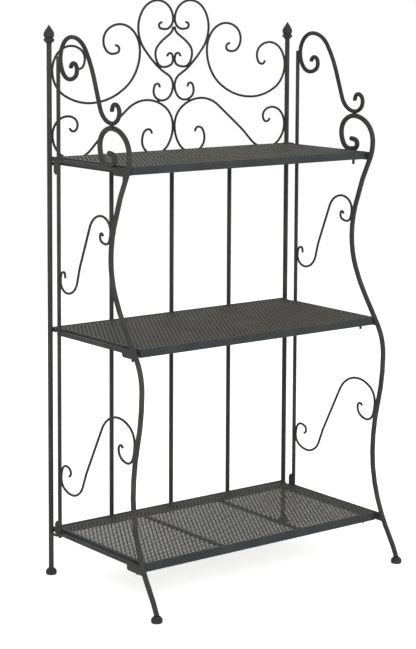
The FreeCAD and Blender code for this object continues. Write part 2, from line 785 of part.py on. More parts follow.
def shelf_mesh(height, front):
    """Sheet with staggered diamond gaps, inside a plain border."""
    z = height - MESH_THICKNESS
    low = Vector(-SHELF_HALF_WIDTH, BACK_Y - front, z)
    high = Vector(SHELF_HALF_WIDTH, BACK_Y - SHELF_BACK, z)
    half_x = (MESH_PITCH_X - MESH_STRAND) / 2
    half_y = (MESH_PITCH_Y - MESH_STRAND) / 2
    columns = int((high.x - low.x - 2 * MESH_BORDER) // MESH_PITCH_X)
    rows = int((high.y - low.y - 2 * MESH_BORDER) // MESH_PITCH_Y)
    middle = (low + high) / 2
    gaps = []
    for row in range(2 * rows - 1):
        in_row = columns - row % 2
        y = middle.y + (row - rows + 1) * MESH_PITCH_Y / 2
        for column in range(in_row):
            x = middle.x + (column - (in_row - 1) / 2) * MESH_PITCH_X
            corners = [(half_x, 0), (0, half_y), (-half_x, 0), (0, -half_y), (half_x, 0)]
            gaps.append(Part.makePolygon([Vector(x + dx, y + dy, z) for dx, dy in corners]))
    border = Part.makePolygon([low, Vector(high.x, low.y, z), high, Vector(low.x, high.y, z), low])
    return Part.Face([border, *gaps]).extrude(UP * MESH_THICKNESS)


def shelf(height, front):
    """The nodes of one shelf, by name."""
    low_y = BACK_Y - front
    high_y = BACK_Y - SHELF_BACK
    rim_low = height - RIM_HEIGHT
    rim_high = height - MESH_THICKNESS
    wall = Vector(RIM_WALL, RIM_WALL, 0)
    low = Vector(-SHELF_HALF_WIDTH, low_y, rim_low)
    high = Vector(SHELF_HALF_WIDTH, high_y, rim_high)
    rim = box_between(low, high).cut(box_between(low + wall, high - wall))
    cross_bars = [
        box_between(
            Vector(x - CROSS_BAR_WIDTH / 2, low_y + RIM_WALL, rim_high - CROSS_BAR_HEIGHT),
            Vector(x + CROSS_BAR_WIDTH / 2, high_y - RIM_WALL, rim_high),
        )
        for x in (-SHELF_HALF_WIDTH / 3, SHELF_HALF_WIDTH / 3)
    ]
    pivots = []
    pegs = []
    pivot_length = EAR_GAP + EAR_THICKNESS + PIVOT_OVERHANG
    peg_x = SHELF_HALF_WIDTH - RIM_WALL - PEG_RADIUS + PEG_SINK
    peg_low = rim_low - PEG_DROP
    for side in SIDES.values():
        root = Vector(side * SHELF_HALF_WIDTH, BACK_Y - PIVOT_DEPTH, height - PIVOT_DROP)
        pivots.append(straight_rod(root, root + Vector(side * pivot_length, 0, 0), PIVOT_RADIUS))
        tip = Vector(side * peg_x, BACK_Y - front + PEG_SETBACK, peg_low)
        pegs.append(Part.makeCylinder(PEG_RADIUS, rim_high - peg_low, tip).cut(rim))
    return {
        "rim": rim,
        "mesh": shelf_mesh(height, front),
        "cross_bars": Part.makeCompound(cross_bars),
        "pivot_pins": Part.makeCompound(pivots),
        "pegs": Part.makeCompound(pegs),
    }


# Assembly


def back_frame():
    """The nodes of the back frame, by name."""
    posts = {name: post(side) for name, side in SIDES.items()}
    bars = {
        f"back_bar_{name}": back_bar(x)
        for name, x in (("left", -BAR_SPACING), ("centre", 0), ("right", BAR_SPACING))
    }
    rails = {
        f"{name}_back_rail": back_rail(z).cut([*posts.values()])
        for name, z in BACK_RAILS.items()
    }
    bars = {name: bar.cut([*rails.values()]) for name, bar in bars.items()}
    right_half = crest_rods()
    left_half = {name: mirrored(rod) for name, rod in right_half.items()}
    halves = {"left": left_half, "right": right_half}
    pins = [pin.cut(posts[name]) for name, side in SIDES.items() for pin in pintles(side)]
    ears = [
        pivot_ear(side, height).cut([posts[name], *rails.values()])
        for name, side in SIDES.items()
        for height, _ in SHELVES.values()
    ]
    nodes = {f"{name}_rear_post": rod for name, rod in posts.items()}
    nodes.update(bars)
    nodes.update(rails)
    for name, half in halves.items():
        nodes.update({f"{name}_{rod_name}": rod for rod_name, rod in half.items()})
    nodes["crest_welds"] = crest_welds(halves, [*posts.values(), rails["top_back_rail"]])
    nodes["post_finials"] = Part.makeCompound([finial(side) for side in SIDES.values()])
    nodes["rear_feet"] = Part.makeCompound([foot(back_plane(side)(POST_X, 0)) for side in SIDES.values()])
    nodes["hinge_pintles"] = Part.makeCompound(pins)
    nodes["shelf_pivot_ears"] = Part.makeCompound(ears)
    return nodes


def build():
    """Every node of the rack, by name."""
    nodes = back_frame()
    for part, shape in side_frame().items():
        nodes[f"right_{part}"] = shape
        nodes[f"left_{part}"] = mirrored(shape)
    for name, (height, front) in SHELVES.items():
        nodes.update({f"{name}_shelf_{part}": shape for part, shape in shelf(height, front).items()})
    return nodes


os.makedirs("parts", exist_ok=True)
for node, shape in build().items():
    shape.exportStep(f"parts/{node}.step")
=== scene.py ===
"""Dressed model of a folding bakers rack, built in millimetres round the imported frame."""

from __future__ import annotations

import json
import logging
import math
from dataclasses import dataclass, field
from enum import Enum
from typing import Any, Callable, Iterable

import bmesh
import bpy
from mathutils import Matrix, Vector
from mathutils.geometry import interpolate_bezier
from mathutils.kdtree import KDTree

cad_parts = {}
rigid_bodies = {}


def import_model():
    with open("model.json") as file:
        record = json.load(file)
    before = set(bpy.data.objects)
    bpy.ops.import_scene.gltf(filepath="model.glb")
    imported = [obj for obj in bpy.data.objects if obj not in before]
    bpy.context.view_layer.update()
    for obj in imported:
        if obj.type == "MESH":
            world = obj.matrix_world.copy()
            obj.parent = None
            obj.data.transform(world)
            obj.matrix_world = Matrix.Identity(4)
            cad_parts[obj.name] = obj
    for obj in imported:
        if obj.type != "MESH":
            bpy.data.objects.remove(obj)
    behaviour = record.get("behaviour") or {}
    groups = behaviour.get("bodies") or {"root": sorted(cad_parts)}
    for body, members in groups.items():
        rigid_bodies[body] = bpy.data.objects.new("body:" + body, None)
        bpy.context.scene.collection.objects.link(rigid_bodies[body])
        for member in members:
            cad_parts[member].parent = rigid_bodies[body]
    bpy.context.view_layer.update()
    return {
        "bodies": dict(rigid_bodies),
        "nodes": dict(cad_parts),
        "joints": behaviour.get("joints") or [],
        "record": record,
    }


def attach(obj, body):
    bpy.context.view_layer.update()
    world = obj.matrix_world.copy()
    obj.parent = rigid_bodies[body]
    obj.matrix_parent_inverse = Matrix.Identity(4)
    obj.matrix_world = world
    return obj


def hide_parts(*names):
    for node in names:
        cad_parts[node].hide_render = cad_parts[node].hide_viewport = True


LOG = logging.getLogger("bakers_rack")

Shape = bmesh.types.BMesh
PlanePoint = Vector | tuple[float, float]
CoursePoint = tuple[float, float, float]
CoursePoints = tuple[CoursePoint, ...]

MILLIMETRE = 0.001
UP = Vector((0, 0, 1))
RIGHTWARD = Vector((1, 0, 0))
BACKWARD = Vector((0, 1, 0))

# How finely round shapes are drawn
ROD_SIDES = 18
TURNED_SIDES = 40
LUMP_SUBDIVISIONS = 2
ROD_END_STEPS = 3
CORNER_STEPS = 4
EDGE_STEPS = 2
BEND_STEP = math.radians(7.5)
SPOT_SPACING = 0.5
CURVE_POINTS = 9
# Below these a stretch of rod counts as straight and two headings as parallel
STRAIGHT_TURN = 1e-4
PARALLEL_SPREAD = 1e-6
FITTING_PASSES = 6
MERGE_DISTANCE = 1e-3
# Edges that turn by more are shaded as sharp, and those of the rim's strip are rounded off
SMOOTH_ANGLE = math.radians(38)
SHARP_ANGLE = math.radians(60)
# Share of a rod's radius that is rounded off at its ends
END_ROUNDING = 0.35
# Thickness of the powder coat on a rod, drawn a little full so that thin wires keep their weight
COAT_THICKNESS = 0.25
# Half sizes of a lump of weld, in the plane of its frame and across it
WELD_RADIUS = 3.4
WELD_DEPTH = 2.6


class Side(Enum):
    """The two halves of the rack, valued by the sign of X."""

    LEFT = -1
    RIGHT = 1

    @property
    def word(self) -> str:
        """Name of the side as the frame's nodes write it."""
        return self.name.lower()


class Level(Enum):
    """The three shelves, from the top down."""

    TOP = "top"
    MIDDLE = "middle"
    BOTTOM = "bottom"


class Slot(Enum):
    """The record's finish slots."""

    FRAME = "frame"
    SCROLLS = "scrolls"
    SHELF_FRAME = "shelf_frame"
    SHELF_MESH = "shelf_mesh"
    FITTINGS = "fittings"
    FEET = "feet"


# Bent rods


@dataclass(frozen=True)
class Bend:
    """One arc or straight stretch of a centre line, in the plane of its frame."""

    start: Vector
    tangent: Vector
    turn: float
    length: float

    @classmethod
    def towards(cls, start: Vector, tangent: Vector, end: Vector) -> Bend:
        """Find the stretch that leaves a point along a tangent and ends at another point.

        Args:
            start: First point.
            tangent: Unit direction at the first point.
            end: Last point.

        Returns:
            The arc, or a straight where the end lies ahead.
        """
        chord = end - start
        half_turn = math.atan2(tangent.x * chord.y - tangent.y * chord.x, tangent.dot(chord))
        if abs(half_turn) < STRAIGHT_TURN:
            return cls(start, tangent, 0.0, chord.length)
        return cls(start, tangent, 2 * half_turn, chord.length * half_turn / math.sin(half_turn))

    @property
    def centre(self) -> Vector:
        """Centre of the arc."""
        return self.start + Vector((-self.tangent.y, self.tangent.x)) * (self.length / self.turn)

    @property
    def end_tangent(self) -> Vector:
        """Unit direction at the last point."""
        return Matrix.Rotation(self.turn, 2) @ self.tangent

    def at(self, share: float) -> Vector:
        """Find a point of the stretch.

        Args:
            share: Part of the length that lies before the point.

        Returns:
            The point, in the plane of the frame.
        """
        if not self.turn:
            return self.start + self.tangent * (self.length * share)
        return self.centre + Matrix.Rotation(self.turn * share, 2) @ (self.start - self.centre)


@dataclass(frozen=True)
class Course:
    """Centre line of a rod: points (across, up, heading in degrees) joined by tangent arcs."""

    points: CoursePoints

    @classmethod
    def straight(cls, start: PlanePoint, end: PlanePoint) -> Course:
        """Course of a straight rod between two points (across, up)."""
        heading = math.degrees(math.atan2(end[1] - start[1], end[0] - start[0]))
        return cls(((*start, heading), (*end, heading)))

    def bends(self) -> list[Bend]:
        """List the stretches of the course in order.

        Returns:
            Two tangent stretches for each pair of points.
        """
        found = []
        for first, last in zip(self.points, self.points[1:]):
            start, end = Vector(first[:2]), Vector(last[:2])
            leaving, arriving = (
                Vector((math.cos(math.radians(point[2])), math.sin(math.radians(point[2]))))
                for point in (first, last)
            )
            chord = end - start
            along = chord.dot(leaving + arriving)
            spread = 2 * (1 - leaving.dot(arriving))
            if spread < PARALLEL_SPREAD:
                reach = chord.length_squared / (2 * along)
            else:
                reach = (math.sqrt(along**2 + spread * chord.length_squared) - along) / spread
            joint = (start + end + (leaving - arriving) * reach) / 2
            opening = Bend.towards(start, leaving, joint)
            found += [opening, Bend.towards(joint, opening.end_tangent, end)]
        return found

    def spots(self) -> list[Vector]:
        """List points along the course.

        Returns:
            Points at an even, close spacing.
        """
        found = []
        for bend in self.bends():
            count = max(1, math.ceil(bend.length / SPOT_SPACING))
            found += [bend.at(step / count) for step in range(count + 1)]
        return found

    def across_at(self, height: float) -> float:
        """How far across the course stands at a height."""
        return min(self.spots(), key=lambda spot: abs(spot.y - height)).x

    def nearest(self, other: Course) -> tuple[float, Vector, Vector]:
        """Find where another course comes closest.

        Args:
            other: The other course, in the same plane.

        Returns:
            The distance, the spot on this course and the spot on the other.
        """
        spots = self.spots()
        tree = KDTree(len(spots))
        for index, spot in enumerate(spots):
            tree.insert(spot.to_3d(), index)
        tree.balance()
        found = [(tree.find(spot.to_3d()), spot) for spot in other.spots()]
        (own, _, distance), theirs = min(found, key=lambda pair: pair[0][2])
        return distance, own.to_2d(), theirs


def shifted(points: CoursePoints, across: float, up: float) -> CoursePoints:
    """Course points moved to another place."""
    return tuple((x + across, z + up, heading) for x, z, heading in points)


def sloped(
    first: CoursePoints,
    first_at: PlanePoint,
    slope: CoursePoint,
    second: CoursePoints,
    second_at: PlanePoint,
) -> Course:
    """Two curls, each moved to its place, and between them a slope that is moved to half way."""
    half_way = [(a + b) / 2 for a, b in zip(first_at, second_at)]
    return Course(shifted(first, *first_at) + shifted((slope,), *half_way) + shifted(second, *second_at))


def fitted(course_of: Callable[[float], Course], value: float, line: Course, reach: float) -> Course:
    """Move a course until it lies at a set distance from its neighbour.

    Args:
        course_of: Makes the course for a value, which brings it nearer as it grows.
        value: First guess.
        line: The neighbour.
        reach: Distance between the two centre lines.

    Returns:
        The fitted course.
    """
    for _ in range(FITTING_PASSES):
        value += line.nearest(course_of(value))[0] - reach
    return course_of(value)


@dataclass(frozen=True)
class FramePlane:
    """Upright plane of a flat frame, in which courses are drawn."""

    origin: Vector
    across: Vector

    def spot(self, point: PlanePoint) -> Vector:
        """Place in the room of a point (across, up) of the plane."""
        return self.origin + self.direction(point)

    def direction(self, step: PlanePoint) -> Vector:
        """Direction in the room of a step (across, up) in the plane."""
        return self.across * step[0] + UP * step[1]

    @property
    def axis(self) -> Vector:
        """Line that a turn from across to up goes round."""
        return self.across.cross(UP)


@dataclass(frozen=True)
class Rod:
    """Round bar, bent along a course in the plane of a frame."""

    course: Course
    radius: float
    plane: FramePlane


# Finishes

# A colour mix's sockets, by number because its other kinds of mix share their names
MIX_SHARE, MIX_FIRST, MIX_SECOND = 0, 6, 7
MIX_RESULT = 2


def linear(colour: str) -> tuple[float, float, float, float]:
    """Turn an sRGB hex colour to linear light.

    Args:
        colour: Six hex digits after a hash sign.

    Returns:
        Red, green, blue and full opacity.
    """
    shares = [int(colour[start : start + 2], 16) / 255 for start in (1, 3, 5)]
    red, green, blue = (c / 12.92 if c <= 0.04045 else ((c + 0.055) / 1.055) ** 2.4 for c in shares)
    return red, green, blue, 1.0


def add_node(
    tree: bpy.types.NodeTree,
    kind: str,
    inputs: dict[str | int, Any] | None = None,
    settings: dict[str, Any] | None = None,
) -> bpy.types.Node:
    """Add a shader node.

    Args:
        tree: Tree that takes the node.
        kind: Blender's name of the node's type.
        inputs: For each input, a socket to link from or a value to set.
        settings: Properties of the node.

    Returns:
        The new node.
    """
    node = tree.nodes.new(kind)
    for name, value in (settings or {}).items():
        setattr(node, name, value)
    for name, value in (inputs or {}).items():
        if isinstance(value, bpy.types.NodeSocket):
            tree.links.new(value, node.inputs[name])
        else:
            node.inputs[name].default_value = value
    return node


def empty_tree(owner: bpy.types.Material | bpy.types.World) -> bpy.types.NodeTree:
    """Give a material or a world its own nodes, none at first.

    Args:
        owner: The material or world.

    Returns:
        Its empty tree.
    """
    owner.use_nodes = True
    owner.node_tree.nodes.clear()
    return owner.node_tree


@dataclass(frozen=True)
class PowderCoatedSteel:
    """Steel rod or strip with a baked satin powder coat, rubbed a little warm in random patches where its
    mottle runs high.

    The coat is a plastic skin over metal, so it shines like plastic, not like bare steel. It
    flows out unevenly in the oven, which gives a faint mottle and a fine orange peel.
    """

    name: str
    colour: str = "#2f3030"
    rubbed_colour: str = "#3e3d38"
    roughness: float = 0.6
    roughness_spread: float = 0.12
    ior: float = 1.5
    gloss: float = 0.2
    mottle_size: float = 38.0
    mottle_detail: float = 4.0
    # A real coat's peel is about 0.8 mm wide, drawn coarser so that it shows in the render
    peel_size: float = 2.4
    peel_detail: float = 2.0
    peel_depth: float = 0.012
    mottle_low: float = 0.42
    mottle_high: float = 0.72

    def material(self) -> bpy.types.Material:
        """Build the coat's shader.

        Returns:
            The material.
        """
        made = bpy.data.materials.new(self.name)
        tree = empty_tree(made)
        place = add_node(tree, "ShaderNodeTexCoord").outputs["Object"]
        mottle, peel = (
            add_node(
                tree,
                "ShaderNodeTexNoise",
                {"Vector": place, "Scale": 1 / (size * MILLIMETRE), "Detail": detail},
            ).outputs["Fac"]
            for size, detail in (
                (self.mottle_size, self.mottle_detail),
                (self.peel_size, self.peel_detail),
            )
        )
        rubbed = add_node(
            tree,
            "ShaderNodeMapRange",
            {"Value": mottle, "From Min": self.mottle_low, "From Max": self.mottle_high},
        ).outputs["Result"]
        colour = add_node(
            tree,
            "ShaderNodeMix",
            {
                MIX_SHARE: rubbed,
                MIX_FIRST: linear(self.colour),
                MIX_SECOND: linear(self.rubbed_colour),
            },
            {"data_type": "RGBA"},
        )
        spread = self.roughness_spread / 2
        sheen = add_node(
            tree,
            "ShaderNodeMapRange",
            {"Value": peel, "To Min": self.roughness - spread, "To Max": self.roughness + spread},
        )
        bump_inputs = {"Height": peel, "Distance": self.peel_depth * MILLIMETRE}
        bump = add_node(tree, "ShaderNodeBump", bump_inputs)
        coat = add_node(
            tree,
            "ShaderNodeBsdfPrincipled",
            {
                "Base Color": colour.outputs[MIX_RESULT],
                "Roughness": sheen.outputs["Result"],
                "IOR": self.ior,
                "Specular IOR Level": self.gloss,
                "Normal": bump.outputs["Normal"],
            },
        )
        add_node(tree, "ShaderNodeOutputMaterial", {"Surface": coat.outputs["BSDF"]})
        return made


COATS = {
    Slot.FRAME: PowderCoatedSteel("powder_coated_rod"),
    Slot.SCROLLS: PowderCoatedSteel("powder_coated_wire", colour="#272828", rubbed_colour="#353430"),
    Slot.SHELF_FRAME: PowderCoatedSteel("powder_coated_strip", colour="#2d3032", rubbed_colour="#383a3a"),
    Slot.SHELF_MESH: PowderCoatedSteel("powder_coated_mesh", colour="#31302a", rubbed_colour="#3e3c34"),
    Slot.FITTINGS: PowderCoatedSteel("powder_coated_fitting"),
    Slot.FEET: PowderCoatedSteel("powder_coated_casting", roughness=0.7),
}


# Making pieces


def mesh_of(shape: Shape, name: str) -> bpy.types.Mesh:
    """Turn a shape into a mesh.

    Args:
        shape: The shape, used up here.
        name: Name of the mesh.

    Returns:
        The mesh.
    """
    mesh = bpy.data.meshes.new(name)
    shape.to_mesh(mesh)
    shape.free()
    return mesh


def placed(name: str, data: bpy.types.ID) -> bpy.types.Object:
    """Bring something into the scene.

    Args:
        name: Name of its object.
        data: Its mesh, lamp or lens.

    Returns:
        The object, at the origin.
    """
    shown = bpy.data.objects.new(name, data)
    bpy.context.scene.collection.objects.link(shown)
    return shown


def verts_of(parts: Iterable[Any]) -> list[bmesh.types.BMVert]:
    """The vertices among some parts of a shape."""
    return [part for part in parts if isinstance(part, bmesh.types.BMVert)]


@dataclass(frozen=True)
class Piece:
    """What a finished piece is called, rides on and wears, and the frame's node that it stands for."""

    name: str
    body: str
    slot: Slot
    node: str


class Workshop:
    """Shapes rods, turned pieces and strips, and hands finished pieces to the frame."""

    def __init__(self) -> None:
        """Mix every finish once."""
        self.materials = {slot: coat.material() for slot, coat in COATS.items()}
        self.stood_for: set[str] = set()

    @staticmethod
    def soften(shape: Shape, edges: list[bmesh.types.BMEdge], width: float, steps: int) -> None:
        """Round off edges, to a width on each side and in a number of steps."""
        bmesh.ops.bevel(
            shape, geom=edges, offset=width, segments=steps, profile=0.5, affect="EDGES", material=-1
        )

    @staticmethod
    def box(shape: Shape, low: Vector, high: Vector) -> list[bmesh.types.BMEdge]:
        """Make a box.

        Args:
            shape: Mesh that takes the box.
            low: Lowest corner.
            high: Highest corner.

        Returns:
            Its edges.
        """
        place = Matrix.Translation((low + high) / 2) @ Matrix.Diagonal((*(high - low), 1))
        verts = bmesh.ops.create_cube(shape, size=1, matrix=place)["verts"]
        return list(dict.fromkeys(edge for vert in verts for edge in vert.link_edges))

    @staticmethod
    def thicken(shape: Shape, faces: Iterable[bmesh.types.BMFace], rise: float) -> None:
        """Give flat faces a thickness.

        Args:
            shape: Mesh that has the faces.
            faces: The faces, which become the underside.
            rise: The thickness.
        """
        raised = bmesh.ops.extrude_face_region(shape, geom=faces, use_keep_orig=True)["geom"]
        bmesh.ops.translate(shape, verts=verts_of(raised), vec=UP * rise)

    @staticmethod
    def turn(shape: Shape, outline: list[Vector], centre: Vector) -> list[bmesh.types.BMVert]:
        """Turn an outline about an upright line.

        Args:
            shape: Mesh that takes the turned piece.
            outline: Points (radius, height) from the bottom to the top.
            centre: Foot of the line.

        Returns:
            The turned piece's vertices.
        """
        others = set(shape.verts)
        verts = [shape.verts.new(centre + RIGHTWARD * point.x + UP * point.y) for point in outline]
        edges = [shape.edges.new(pair) for pair in zip(verts, verts[1:])]
        bmesh.ops.spin(
            shape,
            geom=verts + edges,
            cent=centre,
            axis=UP,
            angle=math.tau,
            steps=TURNED_SIDES,
            use_merge=True,
        )
        bmesh.ops.remove_doubles(shape, verts=shape.verts, dist=MERGE_DISTANCE)
        bmesh.ops.recalc_face_normals(shape, faces=shape.faces)
        return [vert for vert in shape.verts if vert not in others]

    def deliver(self, shape: Shape, piece: Piece) -> None:
        """Turn a shape into a finished piece of the frame.

        Args:
            shape: Mesh in millimetres, used up here.
            piece: What it becomes.
        """
        bmesh.ops.scale(shape, vec=Vector((MILLIMETRE,) * 3), verts=shape.verts)
        mesh = mesh_of(shape, piece.name)
        mesh.shade_smooth()
        mesh.set_sharp_from_angle(angle=SMOOTH_ANGLE)
        mesh.materials.append(self.materials[piece.slot])
        shown = placed(piece.name, mesh)
        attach(shown, piece.body)
        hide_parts(piece.node)
        self.stood_for.add(piece.node)
        LOG.info("%s: %d faces on %s", piece.name, len(mesh.polygons), piece.body)

    def bend_rod(self, rod: Rod, piece: Piece) -> None:
        """Spin a round section along a rod's course, round off both ends and deliver the rod.

        Args:
            rod: The bare rod.
            piece: What it becomes.
        """
        shape = bmesh.new()
        plane, bends = rod.plane, rod.course.bends()
        radius = rod.radius + COAT_THICKNESS
        aim = plane.direction(bends[0].tangent).to_track_quat("Z", "Y").to_matrix().to_4x4()
        place = Matrix.Translation(plane.spot(bends[0].start)) @ aim
        ring = bmesh.ops.create_circle(
            shape, cap_ends=True, segments=ROD_SIDES, radius=radius, matrix=place
        )["verts"]
        edges = list(dict.fromkeys(edge for vert in ring for edge in vert.link_edges))
        ends = list(edges)
        for bend in bends:
            if bend.turn:
                last = bmesh.ops.spin(
                    shape,
                    geom=edges + list(dict.fromkeys(vert for edge in edges for vert in edge.verts)),
                    cent=plane.spot(bend.centre),
                    axis=plane.axis,
                    angle=bend.turn,
                    steps=max(1, math.ceil(abs(bend.turn) / BEND_STEP)),
                )["geom_last"]
            else:
                last = bmesh.ops.extrude_edge_only(shape, edges=edges)["geom"]
                step = plane.direction(bend.tangent * bend.length)
                bmesh.ops.translate(shape, verts=verts_of(last), vec=step)
            tips = set(verts_of(last))
            edges = [
                part
                for part in last
                if isinstance(part, bmesh.types.BMEdge) and tips.issuperset(part.verts)
            ]
        bmesh.ops.contextual_create(shape, geom=edges)
        self.soften(shape, ends + edges, radius * END_ROUNDING, ROD_END_STEPS)
        bmesh.ops.recalc_face_normals(shape, faces=shape.faces)
        self.deliver(shape, piece)

    def lay_welds(self, places: list[Vector], across: Vector, piece: Piece) -> None:
        """Put a smooth lump of weld at each place and deliver the lumps together.

        Args:
            places: Middles of the lumps.
            across: Direction across the frame, in which the lumps are flatter.
            piece: What they become.
        """
        shape = bmesh.new()
        flatten = Matrix.Scale(WELD_DEPTH / WELD_RADIUS, 4, across)
        for place in places:
            bmesh.ops.create_icosphere(
                shape,
                subdivisions=LUMP_SUBDIVISIONS,
                radius=WELD_RADIUS,
                matrix=Matrix.Translation(place) @ flatten,
            )
        self.deliver(shape, piece)

    def coat_nodes(self, frame: dict[str, Any]) -> None:
        """Give the frame's own shapes that stay in view the finish of their slot.

        Args:
            frame: The loaded frame.
        """
        slots = {row["node"]: Slot(row["material_slot"]) for row in frame["record"]["subparts"]}
        for node, shown in frame["nodes"].items():
            if node in self.stood_for:
                continue
            shown.data.materials.clear()
            shown.data.materials.append(self.materials[slots[node]])
            LOG.info("%s: coated", node)


def curve(*knots: PlanePoint) -> list[Vector]:
    """Points of a smooth stretch that is given by its first point, two handles and its last point."""
    drawn = interpolate_bezier(*(Vector(knot) for knot in knots), CURVE_POINTS)
    return [Vector(point[:2]) for point in drawn]


# Sub-assemblies


@dataclass(frozen=True)
class Layout:
    """Sizes and places that several sub-assemblies share."""

    foot_spread: float = 340.1
    foot_height: float = 14.0
    post_x: float = 284.5
    side_x: float = 285.5
    post_radius: float = 4.5
    post_top: float = 998.0
    wire_radius: float = 2.0
    weld_gap: float = 0.1
    back_rail_radius: float = 3.5
    shelf_half_width: float = 275.0
    shelf_heights: dict[Level, float] = field(
        default_factory=lambda: {Level.TOP: 791.0, Level.MIDDLE: 472.0, Level.BOTTOM: 90.0}
    )
    # How far forward of the back frame each shelf's front edge lies
    shelf_fronts: dict[Level, float] = field(
        default_factory=lambda: {Level.TOP: 248.5, Level.MIDDLE: 275.5, Level.BOTTOM: 290.5}
    )
    # How far below its shelf's upper face each back rail lies
    rail_drops: dict[Level, float] = field(
        default_factory=lambda: {Level.TOP: 13.0, Level.MIDDLE: 3.0, Level.BOTTOM: 3.0}
    )

    @property
    def back_y(self) -> float:
        """Depth at which the back frame stands."""
        return self.foot_spread / 2

    def back_plane(self, side: Side) -> FramePlane:
        """Plane of the back frame, drawn outward from the middle to one side."""
        return FramePlane(BACKWARD * self.back_y, RIGHTWARD * side.value)

    def side_plane(self, side: Side) -> FramePlane:
        """Plane of a side frame, drawn forward from the back frame."""
        return FramePlane(RIGHTWARD * self.side_x * side.value + BACKWARD * self.back_y, -BACKWARD)

    def rail_height(self, level: Level) -> float:
        """Height of the back rail behind a shelf."""
        return self.shelf_heights[level] - self.rail_drops[level]


@dataclass
class Foot:
    """Round knob of a foot under a post or a leg."""

    radius: float = 10.3
    sole: float = 8.8
    heel: float = 2.8
    shoulder: float = 6.2
    collar: float = 5.4
    height: float = 12.2

    def shape_at(self, shape: Shape, centre: Vector) -> None:
        """Turn the foot.

        Args:
            shape: Mesh that takes the foot.
            centre: Middle of its sole.
        """
        heel = curve(
            (self.sole, 0),
            ((self.sole + self.radius) / 2, 0),
            (self.radius, self.heel / 2),
            (self.radius, self.heel),
        )
        shoulder = curve(
            (self.radius, self.shoulder),
            (self.radius, (self.shoulder * 2 + self.height) / 3),
            ((self.radius + self.collar) / 2, (self.shoulder + self.height * 2) / 3),
            (self.collar, self.height),
        )
        Workshop.turn(shape, [Vector((0, 0)), *heel, *shoulder, Vector((0, self.height))], centre)


@dataclass
class Finial:
    """Bud with leaf ribs on a flared calyx, seated on the top of a post."""

    calyx_root: float = -1.5
    calyx_radius: float = 10.4
    calyx_height: float = 8.0
    neck_radius: float = 7.2
    neck_height: float = 12.0
    bud_radius: float = 10.2
    bud_height: float = 18.6
    tip_radius: float = 0.5
    height: float = 35.5
    leaves: int = 5
    rib_depth: float = 0.07
    sepal_rise: float = 1.3

    def shape_at(self, shape: Shape, centre: Vector, stem: float) -> None:
        """Turn the calyx and the bud, then draw the leaves out of them.

        Args:
            shape: Mesh that takes the finial.
            centre: Top of the post.
            stem: Radius of the post.
        """
        root, half_calyx = self.calyx_root, self.calyx_height / 2
        edge = Vector((self.calyx_radius, self.calyx_height))
        neck = Vector((self.neck_radius, self.neck_height))
        bud = Vector((self.bud_radius, self.bud_height))
        outline = [Vector((0, root)), Vector((stem, root))]
        for stretch in (
            ((stem, root), (stem, half_calyx), (self.calyx_radius, half_calyx), edge),
            (edge, (edge + neck) / 2, neck, neck),
            (neck, (bud.x, neck.y), (bud.x, (neck.y + bud.y) / 2), bud),
            (
                bud,
                (bud.x, (bud.y * 3 + self.height) / 4),
                (bud.x / 3, (bud.y + self.height * 2) / 3),
                (self.tip_radius, self.height),
            ),
        ):
            outline += curve(*stretch)[1:]
        outline.append(Vector((0, self.height)))
        for vert in Workshop.turn(shape, outline, centre):
            vert.co = centre + self.leafed(vert.co - centre)

    def leafed(self, place: Vector) -> Vector:
        """Press a groove between two leaves, or lift a point of the calyx.

        Args:
            place: Point of the turned finial, from the top of the post.

        Returns:
            Where the leaves bring it.
        """
        rib = math.cos(self.leaves * math.atan2(place.y, place.x))
        above_stem = max(0.0, min(1.0, place.z / self.calyx_height))
        below_tip = min(1.0, (self.height - place.z) / (self.height - self.bud_height))
        squeeze = 1 - self.rib_depth * above_stem * below_tip * (1 - rib) / 2
        from_edge = abs(place.z - self.calyx_height) / (self.neck_height - self.calyx_height)
        lift = self.sepal_rise * max(0.0, 1 - from_edge) * rib
        return Vector((place.x * squeeze, place.y * squeeze, place.z + lift))


# Places of the upright bars, as shares of the way from the middle to the right post
BAR_SHARES = {"left": -0.5, "centre": 0.0, "right": 0.5}


